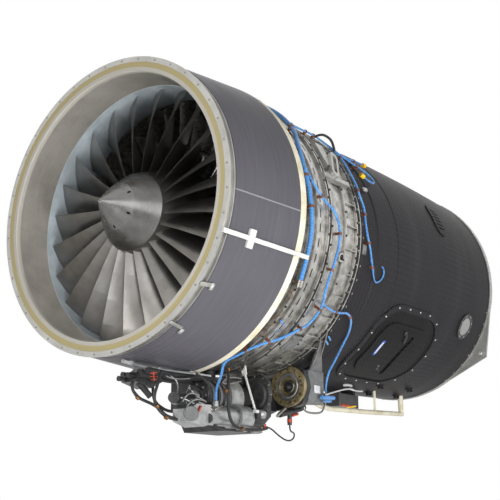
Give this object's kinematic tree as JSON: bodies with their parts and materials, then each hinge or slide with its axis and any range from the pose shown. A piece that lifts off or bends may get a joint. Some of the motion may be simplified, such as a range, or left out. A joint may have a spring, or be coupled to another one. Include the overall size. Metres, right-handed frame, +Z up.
{
  "type": "turbofan engine",
  "caption": "Bare business-jet turbofan with wide-chord fan, dark fan case, stepped intermediate case, long black bypass duct, underslung accessory gearbox and clipped wiring.",
  "frame": {"origin": "centre of the inlet flange's front face, on the engine's axis", "axes": "+X aft along the engine's axis, +Z up, -Y towards the pictured side"},
  "size_m": [2.808, 1.4878, 1.7803],
  "materials": {
    "aramid": "dry woven fibre",
    "bearing_steel": "ground",
    "black_casting": "satin, cast",
    "black_metal": "satin",
    "black_rubber": "matt",
    "blue_braid": "woven sleeve",
    "cap_yellow": "matt",
    "case_metal": "cast and machined",
    "clamp_band": "matt",
    "cream_primer": "primed",
    "duct_composite": "glossy black woven carbon",
    "front_ring": "machined",
    "gold_chromate": "gold chromate",
    "grey_casting": "satin, cast",
    "hot_metal": "heat-tinted",
    "liner_metal": "heat-tinted",
    "liner_paint": "satin",
    "panel_composite": "glossy black",
    "pipe_steel": "drawn",
    "plate_metal": "machined",
    "plug_metal": "satin",
    "rail_paint": "satin",
    "rotor_steel": "machined",
    "shell_composite": "glossy dark grey",
    "silver_unit": "satin",
    "spinner_skin": "satin, turned",
    "titanium": "polished titanium blades",
    "track_filler": "matt abradable",
    "white_paint": "satin"
  },
  "bodies": {
    "engine_static": {"access_panel": "panel_composite", "bottom_rail": "rail_paint", "bypass_duct": "duct_composite", "combustion_liner": "liner_metal", "combustor_case": "hot_metal", "compressor_case": "titanium", "conduit_strut": "white_paint", "containment_belt": "aramid", "core_cowl": "liner_paint", "core_splitter": "case_metal", "drain_tube": "cream_primer", "duct_brackets": "black_metal", "duct_front_flange": "duct_composite", "duct_rear_flange": "plate_metal", "exhaust_frame": "hot_metal", "exhaust_mixer": "hot_metal", "fan_case": "case_metal", "fan_case_rear_ring": "cream_primer", "fan_case_shell": "shell_composite", "fan_exit_guide_vanes": "case_metal", "fan_track_liner": "track_filler", "front_hoses": "black_rubber", "front_mount_bracket": "plate_metal", "fuel_control_unit": "silver_unit", "fuel_manifold": "pipe_steel", "gearbox_housing": "black_casting", "gearbox_lead": "black_rubber", "gearbox_link": "white_paint", "gearbox_rear_block": "grey_casting", "generator": "black_metal", "harness_clamps": "clamp_band", "harness_control": "blue_braid", "harness_main": "blue_braid", "harness_plugs": "plug_metal", "harness_sensor": "blue_braid", "harness_tail": "blue_braid", "ignition_box": "black_metal", "inlet_flange": "front_ring", "inlet_liner": "liner_paint", "inlet_seal_ring": "cream_primer", "intermediate_case": "case_metal", "junction_unit": "black_metal", "louvre_plate": "panel_composite", "main_bearings": "bearing_steel", "port_cover": "black_metal", "protective_caps": "cap_yellow", "rear_mount_bracket": "plate_metal", "starter_pad": "gold_chromate", "tail_cone": "hot_metal", "turbine_case": "hot_metal"},
    "lp_spool": {"spinner_nose": "spinner_skin", "spinner_base": "spinner_skin", "fan_rotor": "titanium", "booster_rotor": "titanium", "lp_shaft": "rotor_steel", "lp_turbine_rotor": "hot_metal"},
    "core_spool": {"compressor_rotor": "titanium", "core_turbine_rotor": "hot_metal"},
    "tower_shaft": {"tower_shaft": "rotor_steel"},
    "starter_drive": {"starter_drive": "rotor_steel"}
  },
  "joints": [
    {"name": "lp_spin", "type": "hinge", "parent": "engine_static", "child": "lp_spool", "pos_m": [0.3, 0, 0], "axis": [1, 0, 0], "continuous": true},
    {"name": "core_spin", "type": "hinge", "parent": "engine_static", "child": "core_spool", "pos_m": [1.2, 0, 0], "axis": [1, 0, 0], "continuous": true},
    {"name": "tower_spin", "type": "hinge", "parent": "engine_static", "child": "tower_shaft", "pos_m": [0.735, 0, -0.4], "axis": [0, 0, 1], "continuous": true},
    {"name": "starter_spin", "type": "hinge", "parent": "engine_static", "child": "starter_drive", "pos_m": [1.15, -0.222, -0.757], "axis": [1, 0, 0], "continuous": true}
  ],
  "couplings": [
    {"joint": "tower_spin", "follows": "core_spin", "ratio": 2.5},
    {"joint": "starter_spin", "follows": "core_spin", "ratio": 0.4}
  ]
}
